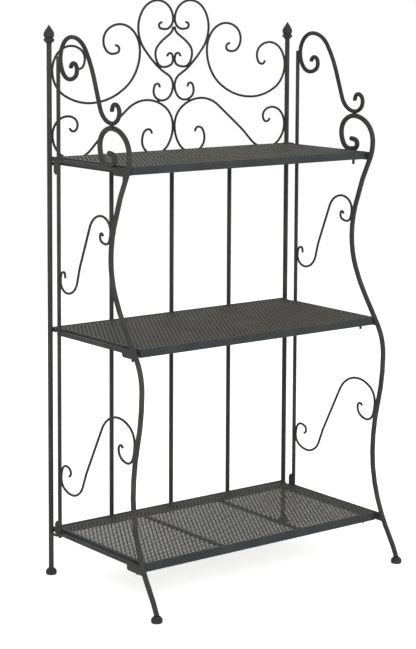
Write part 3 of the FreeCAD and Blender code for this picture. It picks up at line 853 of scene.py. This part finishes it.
@dataclass
class BackFrame:
    """Posts with finials and feet, back rails and the upright bars lapped behind them."""

    layout: Layout
    workshop: Workshop
    bar_radius: float = 4.0
    bar_lap: float = 5.5
    finial_seat: float = 1.0
    body: str = "back_frame"
    foot: Foot = field(default_factory=Foot)
    finial: Finial = field(default_factory=Finial)

    def rods(self) -> dict[str, Rod]:
        """List the posts, the rails and the bars.

        Returns:
            Each rod, by the node that it stands for.
        """
        layout = self.layout
        x = layout.post_x
        post = Course.straight((x, layout.foot_height / 2), (x, layout.post_top + self.finial_seat))
        found = {}
        for side in Side:
            found[f"{side.word}_rear_post"] = Rod(post, layout.post_radius, layout.back_plane(side))
        reach = x - layout.post_radius / 2
        for level in Level:
            z = layout.rail_height(level)
            rail = Course.straight((-reach, z), (reach, z))
            plane = layout.back_plane(Side.RIGHT)
            found[f"{level.value}_back_rail"] = Rod(rail, layout.back_rail_radius, plane)
        low = layout.rail_height(Level.BOTTOM) - layout.back_rail_radius
        high = layout.rail_height(Level.TOP) + layout.back_rail_radius
        plane = FramePlane(BACKWARD * (layout.back_y + self.bar_lap), RIGHTWARD)
        for name, share in BAR_SHARES.items():
            bar = Course.straight((share * x, low), (share * x, high))
            found[f"back_bar_{name}"] = Rod(bar, self.bar_radius, plane)
        return found

    def dress(self) -> None:
        """Build every rod, finial and foot of the back frame."""
        layout = self.layout
        for node, rod in self.rods().items():
            self.workshop.bend_rod(rod, Piece(f"{node}_rod", self.body, Slot.FRAME, node))
        finials, feet = bmesh.new(), bmesh.new()
        for side in Side:
            plane = layout.back_plane(side)
            seat = plane.spot((layout.post_x, layout.post_top))
            self.finial.shape_at(finials, seat, layout.post_radius)
            self.foot.shape_at(feet, plane.spot((layout.post_x, 0)))
        self.workshop.deliver(finials, Piece("bud_finials", self.body, Slot.FITTINGS, "post_finials"))
        self.workshop.deliver(feet, Piece("knob_rear_feet", self.body, Slot.FEET, "rear_feet"))


@dataclass
class Crest:
    """Scrolled wire crest above the top back rail, drawn as its right half and mirrored."""

    layout: Layout
    workshop: Workshop
    heart_edge: float = 84.0
    heart_top: float = 299.5
    heart_cleft: float = 264.0
    heart_waist: float = 136.0
    inner_lobe: float = 45.0
    inner_drop: float = 14.5
    inner_rise: float = 50.0
    bowl_touch: float = 171.0
    bowl_lap: float = 4.0
    bowl_side: float = 33.0
    arch_touch: float = 52.0
    arch_centre: float = 58.0
    arch_foot: float = 45.0
    arch_outer_foot: float = 46.0
    body: str = "back_frame"

    @property
    def middle_touch(self) -> float:
        """Distance from the middle at which two mirrored wires touch."""
        return self.layout.wire_radius + self.layout.weld_gap / 2

    @property
    def post_touch(self) -> float:
        """Distance from the middle at which a wire touches its post."""
        layout = self.layout
        return layout.post_x - layout.post_radius - layout.weld_gap - layout.wire_radius

    @property
    def rail_touch(self) -> float:
        """Height above the rail's middle at which a wire lies on the rail."""
        return self.layout.back_rail_radius + self.layout.weld_gap + self.layout.wire_radius

    @property
    def inner_waist(self) -> float:
        """Height of the small heart's waist."""
        return self.heart_waist + self.inner_rise

    def heart(self) -> Course:
        """Draw half the large heart, from the hook in its cleft to the curl below its waist.

        Returns:
            The centre line.
        """
        cleft, top, waist = self.heart_cleft, self.heart_top, self.heart_waist
        return Course(
            (
                (28, cleft - 6.5, 0),
                (35.5, cleft - 12, -90),
                (21, cleft - 19.5, 180),
                (self.middle_touch, cleft, 90),
                (self.heart_edge - 45, top, 0),
                (self.heart_edge, top - 51.5, -90),
                (40, waist + 39, -138),
                (self.middle_touch, waist, -90),
                (27, waist - 28, 0),
                (48, waist - 10, 90),
                (39, waist + 4.5, 180),
                (33.5, waist - 3, -90),
            )
        )

    def inner_heart(self, lobe: float) -> Course:
        """Draw half the upside-down heart inside the large one.

        Args:
            lobe: Width to which its lobe reaches.

        Returns:
            The centre line.
        """
        waist = self.inner_waist
        return Course(
            (
                (self.middle_touch, self.heart_cleft - self.inner_drop, -90),
                (26, waist + 38, -37),
                (lobe, waist + 12, -90),
                (lobe - 20, waist - 14, 180),
                (self.middle_touch, waist, 90),
                (9, waist + 12.5, 0),
                (15.5, waist + 6, -90),
            )
        )

    def bowl(self, lap: float) -> Course:
        """Draw the wide C scroll between heart and post.

        Args:
            lap: How far it reaches over the heart's edge.

        Returns:
            The centre line.
        """
        inner_curl = ((53, 44.5, 180), (44, 37, -90), (59, 28.5, 0), (80, 53, 90), (43, 84, 180))
        flank = ((-lap, self.bowl_side, -90),)
        outer_curl = (
            (-85, -62.5, 0),
            (0, 0, 90),
            (-41, 45, 180),
            (-72, 20, -90),
            (-59, 2, 0),
            (-52, 9, 90),
        )
        near_heart = shifted(inner_curl + flank, self.heart_edge, self.bowl_touch)
        return Course(near_heart + shifted(outer_curl, self.post_touch, self.bowl_touch))

    def arch(self) -> Course:
        """Draw the S scroll, from the curl at the post, down to the rail and over its arch.

        Returns:
            The centre line.
        """
        outer = (
            (-38, 12, -110),
            (-46, 5.5, 180),
            (-55.5, 17, 90),
            (-33, 34, 0),
            (0, 0, -90),
        )
        centre = self.arch_centre
        inner = (
            (self.post_touch - self.arch_outer_foot, self.rail_touch, 180),
            ((self.post_touch + self.middle_touch) / 2 + 12, centre + 1, 143),
            (65, centre + 52, 180),
            (self.middle_touch, centre, -90),
            (self.arch_foot, self.rail_touch, 0),
            (75, centre - 26, 90),
            (60, centre - 4, 180),
            (52.5, centre - 13, -80),
        )
        return Course(shifted(outer, self.post_touch, self.arch_touch) + inner)

    def plane(self, side: Side) -> FramePlane:
        """Plane of the crest, measured up from the top back rail."""
        back = self.layout.back_plane(side)
        return FramePlane(back.origin + UP * self.layout.rail_height(Level.TOP), back.across)

    def dress(self) -> None:
        """Build both halves of the crest and the welds that hold them."""
        reach = 2 * self.layout.wire_radius + self.layout.weld_gap
        heart = self.heart()
        courses = {
            "heart_scroll": heart,
            "inner_heart": fitted(self.inner_heart, self.inner_lobe, heart, reach),
            "c_scroll": fitted(self.bowl, self.bowl_lap, heart, reach),
            "s_scroll": self.arch(),
        }
        for side in Side:
            for name, course in courses.items():
                node = f"{side.word}_{name}"
                wire = Rod(course, self.layout.wire_radius, self.plane(side))
                self.workshop.bend_rod(wire, Piece(f"{node}_wire", self.body, Slot.SCROLLS, node))
        self.dress_welds(courses)

    def dress_welds(self, courses: dict[str, Course]) -> None:
        """Put a lump of weld wherever wires meet each other, a post or the rail.

        Args:
            courses: Centre lines of the right half's wires, by name.
        """
        wire = self.layout.wire_radius
        spots = [Vector((self.post_touch + wire, z)) for z in (self.bowl_touch, self.arch_touch)]
        feet = (self.arch_foot, self.post_touch - self.arch_outer_foot)
        spots += [Vector((x, self.rail_touch - wire)) for x in feet]
        for name in ("inner_heart", "c_scroll", "s_scroll"):
            _, own, theirs = courses["heart_scroll"].nearest(courses[name])
            spots.append((own + theirs) / 2)
        middles = (self.heart_cleft, self.heart_waist, self.inner_waist, self.arch_centre)
        places = [self.plane(Side.RIGHT).spot((0, z)) for z in middles]
        places += [self.plane(side).spot(spot) for side in Side for spot in spots]
        lumps = Piece("crest_weld_lumps", self.body, Slot.SCROLLS, "crest_welds")
        self.workshop.lay_welds(places, BACKWARD, lumps)


@dataclass
class BayScroll:
    """Thin S scroll in a bay, whose touch on leg and upright is measured up from the shelf below."""

    name: str
    below: Level
    leg_touch: float
    upright_touch: float
    front_curl: CoursePoints
    slope: CoursePoint
    rear_curl: CoursePoints

    def course(self, front_at: PlanePoint, rear_at: PlanePoint) -> Course:
        """Course of the scroll between its two touching points."""
        return sloped(self.front_curl, front_at, self.slope, self.rear_curl, rear_at)


BAY_SCROLLS = (
    BayScroll(
        name="upper",
        below=Level.MIDDLE,
        leg_touch=201.0,
        upright_touch=92.0,
        front_curl=(
            (-23, -10, 135),
            (-28, -6, 180),
            (-32.5, -13, -90),
            (-15, -24, 0),
            (0, 0, 90),
            (-29, 25, 180),
        ),
        slope=(-7, 2.5, -116),
        rear_curl=((22.5, -20, 180), (0, 0, 90), (10, 18, 0), (15.5, 7, -90)),
    ),
    BayScroll(
        name="lower",
        below=Level.BOTTOM,
        leg_touch=214.0,
        upright_touch=104.0,
        front_curl=(
            (-36, -14, 120),
            (-42, -9.5, 180),
            (-49, -18, -90),
            (-23, -38.5, 0),
            (0, 0, 90),
            (-50, 38.5, 180),
        ),
        slope=(-21, -5, -121),
        rear_curl=((35.5, -25.5, 180), (0, 0, 90), (16.5, 25.5, 0), (32, 15, -90), (25.5, 8, 180)),
    ),
)


@dataclass
class SideFrame:
    """Hinged side frame: bowed front leg, upright, rails and scrolls."""

    layout: Layout
    workshop: Workshop
    side: Side
    leg_radius: float = 4.5
    upright_radius: float = 3.5
    rail_radius: float = 3.0
    scroll_radius: float = 3.75
    upright_depth: float = 32.0
    upright_top: float = 977.0
    upright_drop: float = 12.0
    side_rail_drop: float = 5.0
    loop_top: float = 65.5
    loop_setback: float = 45.5
    foot_heading: float = -66.0
    scroll_rear: float = 182.0
    foot: Foot = field(default_factory=Foot)

    @property
    def body(self) -> str:
        """Body that the frame's pieces ride on."""
        return f"{self.side.word}_side_frame"

    def leg(self) -> Course:
        """Draw the front leg, from the hook inside its loop, down the two bows, to the foot.

        Returns:
            The centre line.
        """
        layout = self.layout
        stretches: dict[Level, CoursePoints] = {
            Level.TOP: (
                (-55.5, 21, 0),
                (-36.5, 11, -90),
                (-58.5, 1, 180),
                (-82.5, 33, 90),
                (-self.loop_setback, self.loop_top, 0),
                (8, 18, -90),
                (-19.5, -55, -113),
            ),
            Level.MIDDLE: ((-75.5, 151, -90), (-32.5, 35, -54), (19, -71, -90)),
            Level.BOTTOM: ((-22, 116, -90), (6.5, -3, -64)),
        }
        points: CoursePoints = ()
        for level, stretch in stretches.items():
            points += shifted(stretch, layout.shelf_fronts[level], layout.shelf_heights[level])
        sole = (layout.foot_spread, layout.foot_height - self.leg_radius / 2, self.foot_heading)
        return Course((*points, sole))

    def top_scroll(self) -> Course:
        """Draw the thick scroll, from the upright, over its arch and down to the leg's loop.

        Returns:
            The centre line.
        """
        layout = self.layout
        base = layout.shelf_heights[Level.TOP]
        rear = self.upright_depth + self.upright_radius + layout.weld_gap + self.scroll_radius
        seat = base + self.loop_top + self.leg_radius + layout.weld_gap + self.scroll_radius
        rear_curl = (
            (33.5, -16, 70),
            (43, -7, 0),
            (54, -19, -90),
            (30, -36.5, 180),
            (0, 0, 90),
            (38, 40, 0),
        )
        front_curl = ((0, 0, 0), (23, 20.5, 90), (10, 34, 180), (0.5, 20.5, -90))
        slope = (26, 24, -69)
        front = layout.shelf_fronts[Level.TOP] - self.loop_setback
        return sloped(rear_curl, (rear, base + self.scroll_rear), slope, front_curl, (front, seat))

    def bay_scroll(self, bay: BayScroll, leg: Course) -> Course:
        """Fit a bay's scroll between the upright and the leg.

        Args:
            bay: The scroll.
            leg: Centre line of the leg.

        Returns:
            The scroll's centre line.
        """
        layout = self.layout
        base = layout.shelf_heights[bay.below]
        rear = self.upright_depth + self.upright_radius + layout.weld_gap + layout.wire_radius
        reach = self.leg_radius + layout.weld_gap + layout.wire_radius

        def course_of(front: float) -> Course:
            """Course of the scroll when its front curl reaches to a depth."""
            return bay.course((front, base + bay.leg_touch), (rear, base + bay.upright_touch))

        return fitted(course_of, leg.across_at(base + bay.leg_touch) - reach, leg, reach)

    def dress(self) -> None:
        """Build every rod of the side frame, its foot and its welds."""
        layout, side = self.layout, self.side.word
        plane = layout.side_plane(self.side)
        leg = Rod(self.leg(), self.leg_radius, plane)
        low = layout.shelf_heights[Level.BOTTOM] - self.upright_drop
        line = Course.straight((self.upright_depth, low), (self.upright_depth, self.upright_top))
        upright = Rod(line, self.upright_radius, plane)
        bars = {"front_leg": leg, "upright": upright}
        for level in Level:
            z = layout.shelf_heights[level] - self.side_rail_drop
            line = Course.straight((self.upright_depth, z), (leg.course.across_at(z), z))
            bars[f"{level.value}_side_rail"] = Rod(line, self.rail_radius, plane)
        scrolls = {"top_scroll": Rod(self.top_scroll(), self.scroll_radius, plane)}
        for bay in BAY_SCROLLS:
            line = self.bay_scroll(bay, leg.course)
            scrolls[f"{bay.name}_bay_scroll"] = Rod(line, layout.wire_radius, plane)
        for slot, rods in ((Slot.FRAME, bars), (Slot.SCROLLS, scrolls)):
            for name, rod in rods.items():
                node = f"{side}_{name}"
                self.workshop.bend_rod(rod, Piece(f"{node}_rod", self.body, slot, node))
        foot = bmesh.new()
        self.foot.shape_at(foot, plane.spot((layout.foot_spread, 0)))
        node = f"{side}_front_foot"
        self.workshop.deliver(foot, Piece(f"{node}_knob", self.body, Slot.FEET, node))
        welds = [self.weld_place(bar, rod) for rod in scrolls.values() for bar in (leg, upright)]
        node = f"{side}_welds"
        self.workshop.lay_welds(welds, RIGHTWARD, Piece(f"{node}_lumps", self.body, Slot.SCROLLS, node))

    @staticmethod
    def weld_place(carrier: Rod, scroll: Rod) -> Vector:
        """Find where a scroll is welded to the leg or the upright.

        Args:
            carrier: The leg or the upright.
            scroll: The scroll, in the same plane.

        Returns:
            The place between the two where their skins touch.
        """
        _, own, theirs = carrier.course.nearest(scroll.course)
        share = carrier.radius / (carrier.radius + scroll.radius)
        return carrier.plane.spot(own.lerp(theirs, share))


@dataclass
class MeshShelf:
    """Shelf of diamond mesh in a rim of flat strip, with two bars underneath."""

    layout: Layout
    workshop: Workshop
    level: Level
    back_setback: float = 6.5
    rim_height: float = 14.5
    rim_wall: float = 2.5
    rim_corner: float = 2.0
    rim_edge: float = 0.5
    # The gaps look finer in life, and are drawn as coarse as they need to be to show as lines
    gap_width: float = 8.6
    gap_length: float = 14.4
    strand: float = 2.6
    spare_cells: int = 2
    mesh_thickness: float = 1.2
    mesh_sink: float = 0.3
    lip_width: float = 5.0
    lip_lap: float = 0.4
    bar_width: float = 6.0
    bar_height: float = 5.0
    bar_share: float = 1 / 3

    @property
    def body(self) -> str:
        """Body that the shelf's pieces ride on."""
        return f"{self.level.value}_shelf"

    @property
    def top(self) -> float:
        """Height of the shelf's upper face."""
        return self.layout.shelf_heights[self.level]

    @property
    def underside(self) -> float:
        """Height of the mesh's lower face, on which the bars bear."""
        return self.top - self.mesh_sink - self.mesh_thickness

    def corners(self, border: float = 0.0) -> tuple[Vector, Vector]:
        """Find two opposite corners of the rim.

        Args:
            border: How far they are moved inward.

        Returns:
            The lowest corner, at the left front, and the highest, at the right rear.
        """
        x = self.layout.shelf_half_width - border
        front = self.layout.back_y - self.layout.shelf_fronts[self.level] + border
        rear = self.layout.back_y - self.back_setback - border
        return Vector((-x, front, self.top - self.rim_height)), Vector((x, rear, self.top))

    def dress(self) -> None:
        """Build the rim, the mesh and the bars."""
        self.dress_rim()
        self.dress_mesh()
        self.dress_bars()

    def dress_rim(self) -> None:
        """Bend a strip round the shelf: the walls of a box with round corners, given a thickness."""
        shape = bmesh.new()
        edges = self.workshop.box(shape, *self.corners())
        upright = [edge for edge in edges if edge.verts[0].co.xy == edge.verts[1].co.xy]
        lids = [face for face in shape.faces if not set(face.edges) & set(upright)]
        bmesh.ops.delete(shape, geom=lids, context="FACES_ONLY")
        self.workshop.soften(shape, upright, self.rim_corner, CORNER_STEPS)
        bmesh.ops.solidify(shape, geom=shape.faces, thickness=self.rim_wall)
        sharp = [edge for edge in shape.edges if edge.calc_face_angle(0) > SHARP_ANGLE]
        self.workshop.soften(shape, sharp, self.rim_edge, EDGE_STEPS)
        self.add_lip(shape)
        bmesh.ops.recalc_face_normals(shape, faces=shape.faces)
        node = f"{self.body}_rim"
        self.workshop.deliver(shape, Piece(f"{node}_strip", self.body, Slot.SHELF_FRAME, node))

    def add_lip(self, shape: Shape) -> None:
        """Add the flat lip that holds the edge of the mesh, from the middle of the strip inward.

        Args:
            shape: Mesh of the rim.
        """
        low, high = self.corners(self.rim_wall / 2)
        middle, size = (low + high) / 2, high - low
        spread = Matrix.Diagonal((size.x, size.y, 1, 1))
        place = Matrix.Translation((middle.x, middle.y, self.underside)) @ spread
        sheet = bmesh.ops.create_grid(shape, x_segments=1, y_segments=1, size=0.5, matrix=place)["verts"]
        inner = list(sheet[0].link_faces)
        ring = bmesh.ops.inset_region(
            shape, faces=inner, thickness=self.lip_width, use_boundary=True, use_even_offset=True
        )["faces"]
        bmesh.ops.delete(shape, geom=inner, context="FACES_ONLY")
        self.workshop.thicken(shape, ring, self.top - self.underside)

    def dress_mesh(self) -> None:
        """Cut diamond gaps in a sheet: a grid stood on its corner, trimmed and inset face by face."""
        low, high = self.corners(self.rim_wall / 2 + self.lip_width - self.lip_lap)
        middle, size = (low + high) / 2, high - low
        cells = math.ceil(size.x / self.gap_width + size.y / self.gap_length) + self.spare_cells
        spread = Matrix.Diagonal((self.gap_width / math.sqrt(2), self.gap_length / math.sqrt(2), 1, 1))
        place = Matrix.Translation((middle.x, middle.y, self.underside)) @ spread
        shape = bmesh.new()
        bmesh.ops.create_grid(
            shape,
            x_segments=cells,
            y_segments=cells,
            size=cells / 2,
            matrix=place @ Matrix.Rotation(math.tau / 8, 4, "Z"),
        )
        for corner, outward in ((low, -1), (high, 1)):
            for axis in (RIGHTWARD, BACKWARD):
                bmesh.ops.bisect_plane(
                    shape,
                    geom=[*shape.verts, *shape.edges, *shape.faces],
                    dist=MERGE_DISTANCE,
                    plane_co=corner,
                    plane_no=axis * outward,
                    clear_outer=True,
                )
        strands = bmesh.ops.inset_individual(
            shape, faces=shape.faces, thickness=self.strand / 2, use_even_offset=True
        )["faces"]
        kept = set(strands)
        gaps = [face for face in shape.faces if face not in kept]
        bmesh.ops.delete(shape, geom=gaps, context="FACES_ONLY")
        self.workshop.thicken(shape, shape.faces, self.mesh_thickness)
        bmesh.ops.recalc_face_normals(shape, faces=shape.faces)
        node = f"{self.body}_mesh"
        self.workshop.deliver(shape, Piece(f"{node}_sheet", self.body, Slot.SHELF_MESH, node))

    def dress_bars(self) -> None:
        """Build the two bars that carry the mesh from front to back."""
        shape = bmesh.new()
        low, high = self.corners(self.rim_wall / 2)
        low.z, high.z = self.underside - self.bar_height, self.underside
        for side in Side:
            x = side.value * self.bar_share * self.layout.shelf_half_width
            low.x, high.x = x - self.bar_width / 2, x + self.bar_width / 2
            edges = self.workshop.box(shape, low, high)
            self.workshop.soften(shape, edges, self.rim_edge, EDGE_STEPS)
        node = f"{self.body}_cross_bars"
        self.workshop.deliver(shape, Piece(f"{node}_strips", self.body, Slot.SHELF_FRAME, node))


# Studio


@dataclass(frozen=True)
class SoftBox:
    """Square studio lamp."""

    name: str
    place: tuple[float, float, float]
    size: float
    power: float


@dataclass
class Studio:
    """White room with soft boxes, a pale floor and the camera of the photograph."""

    aim: Vector = field(default_factory=lambda: Vector((0, 0, 0.5)))
    image_width: float = 416.0
    image_height: float = 649.0
    focal_pixels: float = 1876.11
    centre_row: float = 190.0
    sensor: float = 36.0
    camera_place: tuple[float, float, float] = (-2.1548, -2.7351, 1.1103)
    yaw: float = 0.6567
    pitch: float = 0.1098
    roll: float = 0.005
    room_colour: str = "#ffffff"
    room_light: float = 0.44
    floor_size: float = 30.0
    floor_colour: str = "#f4f4f2"
    floor_glow: float = 0.62
    boxes: tuple[SoftBox, ...] = (
        SoftBox("key_box", place=(-2.4, -3.0, 2.1), size=1.8, power=95.0),
        SoftBox("fill_box", place=(2.6, -2.0, 1.8), size=2.2, power=30.0),
        SoftBox("rear_box", place=(0.6, 2.6, 2.6), size=1.6, power=25.0),
    )

    def set_up(self) -> None:
        """Place the camera, the lamps, the floor and the white room."""
        bpy.context.scene.view_settings.view_transform = "Standard"
        self.set_camera()
        for box in self.boxes:
            self.hang(box)
        self.lay_floor()
        self.paint_room()

    def set_camera(self) -> None:
        """Stand the camera where the photograph was taken."""
        lens = bpy.data.cameras.new("camera")
        longest = max(self.image_width, self.image_height)
        lens.sensor_width = self.sensor
        lens.lens = self.focal_pixels / longest * self.sensor
        lens.shift_y = (self.centre_row - self.image_height / 2) / longest
        lens.clip_end = 2 * self.floor_size
        swing = Matrix.Rotation(-self.yaw, 4, "Z")
        tilt = Matrix.Rotation(math.tau / 4 - self.pitch, 4, "X")
        lean = Matrix.Rotation(self.roll, 4, "Z")
        camera = placed("camera", lens)
        camera.matrix_world = Matrix.Translation(self.camera_place) @ swing @ tilt @ lean
        bpy.context.scene.camera = camera

    def hang(self, box: SoftBox) -> None:
        """Hang one soft box and aim it at the rack.

        Args:
            box: The lamp.
        """
        lamp = bpy.data.lights.new(box.name, "AREA")
        lamp.size = box.size
        lamp.energy = box.power
        shown = placed(box.name, lamp)
        place = Vector(box.place)
        aim = (self.aim - place).to_track_quat("-Z", "Y").to_matrix().to_4x4()
        shown.matrix_world = Matrix.Translation(place) @ aim

    def lay_floor(self) -> None:
        """Lay a pale floor that glows a little to the camera and keeps the rack's shadow."""
        shape = bmesh.new()
        bmesh.ops.create_grid(shape, x_segments=1, y_segments=1, size=self.floor_size / 2)
        mesh = mesh_of(shape, "floor")
        paint = bpy.data.materials.new("matt_white_paint")
        tree = empty_tree(paint)
        seen = self.seen_directly(tree)
        matt = add_node(tree, "ShaderNodeBsdfDiffuse", {"Color": linear(self.floor_colour)})
        share = add_node(tree, "ShaderNodeMath", {0: seen, 1: self.floor_glow}, {"operation": "MULTIPLY"})
        glow = add_node(tree, "ShaderNodeEmission", {"Strength": share.outputs[0]})
        parts = {0: matt.outputs["BSDF"], 1: glow.outputs["Emission"]}
        both = add_node(tree, "ShaderNodeAddShader", parts)
        add_node(tree, "ShaderNodeOutputMaterial", {"Surface": both.outputs["Shader"]})
        mesh.materials.append(paint)
        floor = placed("floor", mesh)

    @staticmethod
    def seen_directly(tree: bpy.types.NodeTree) -> bpy.types.NodeSocket:
        """Tell rays that show the room itself from rays that only carry its light.

        Args:
            tree: Tree that takes the nodes.

        Returns:
            A socket that is 1 for camera, glossy and transmission rays.
        """
        path = add_node(tree, "ShaderNodeLightPath")
        share = path.outputs["Is Camera Ray"]
        for name in ("Is Glossy Ray", "Is Transmission Ray"):
            either = {0: share, 1: path.outputs[name]}
            share = add_node(tree, "ShaderNodeMath", either, {"operation": "MAXIMUM"}).outputs[0]
        return share

    def paint_room(self) -> None:
        """Make the room white to look at and soft as a light."""
        world = bpy.data.worlds.new("white_room")
        tree = empty_tree(world)
        strength = add_node(
            tree,
            "ShaderNodeMapRange",
            {"Value": self.seen_directly(tree), "To Min": self.room_light, "To Max": 1.0},
        ).outputs["Result"]
        room = {"Color": linear(self.room_colour), "Strength": strength}
        white = add_node(tree, "ShaderNodeBackground", room).outputs["Background"]
        add_node(tree, "ShaderNodeOutputWorld", {"Surface": white})
        bpy.context.scene.world = world


def main() -> None:
    """Load the frame, dress every sub-assembly and set up the studio."""
    logging.basicConfig(level=logging.INFO, format="%(message)s")
    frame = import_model()
    layout = Layout()
    workshop = Workshop()
    BackFrame(layout, workshop).dress()
    Crest(layout, workshop).dress()
    for side in Side:
        SideFrame(layout, workshop, side).dress()
    for level in Level:
        MeshShelf(layout, workshop, level).dress()
    workshop.coat_nodes(frame)
    Studio().set_up()


if __name__ == "__main__":
    main()
